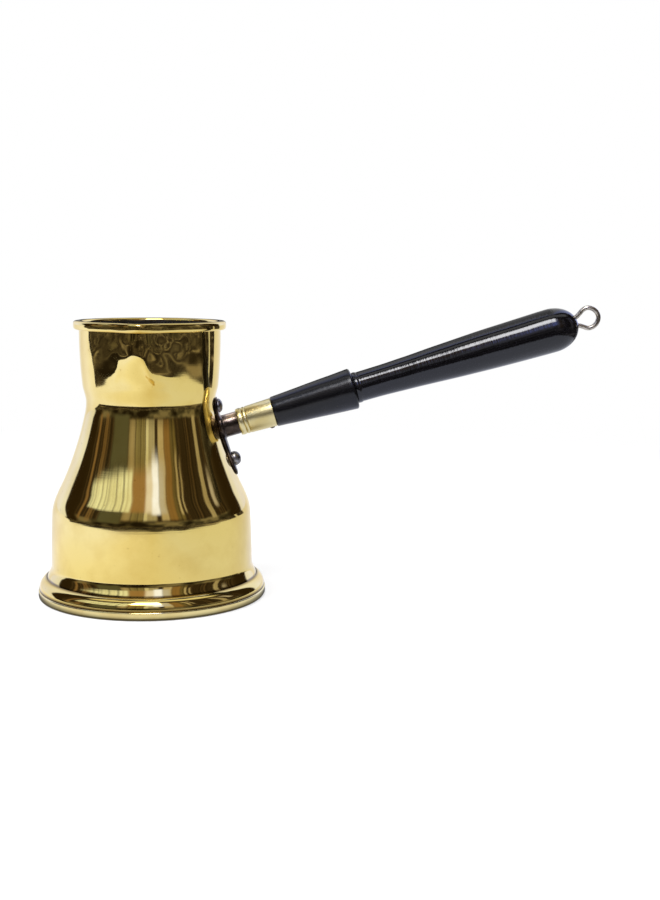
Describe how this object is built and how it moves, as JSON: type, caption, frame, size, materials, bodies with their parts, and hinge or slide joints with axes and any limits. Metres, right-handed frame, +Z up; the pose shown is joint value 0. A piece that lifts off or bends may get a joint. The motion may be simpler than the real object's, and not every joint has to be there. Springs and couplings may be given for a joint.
{
  "type": "long-handled coffee pot",
  "caption": "Spun brass coffee brewing pot with a waisted body, moulded foot, side pouring lip and a riveted bracket carrying a long turned black wooden handle with a hanging loop.",
  "frame": {"origin": "centre of the base, on the surface it stands on, where the pot's axis meets it", "axes": "+Z up along the pot's axis, +X towards the handle; the pouring lip points to about -Y"},
  "size_m": [0.2043, 0.082, 0.1055],
  "materials": {
    "polished_brass": "spun, polished, lightly lacquered",
    "dark_bronze": "cast, dark patina",
    "dull_steel": "hammered, dull",
    "black_wood": "turned hardwood, black gloss lacquer",
    "bright_wire": "drawn, bright"
  },
  "bodies": {
    "root": {"pot_body": "polished_brass", "base_plate": "polished_brass", "handle_bracket": "dark_bronze", "upper_rivet": "dull_steel", "lower_rivet": "dull_steel", "handle_tang": "dull_steel", "ferrule": "polished_brass", "ferrule_brad": "dark_bronze", "handle_collar": "black_wood", "handle_grip": "black_wood", "hanging_loop": "bright_wire"}
  },
  "joints": []
}
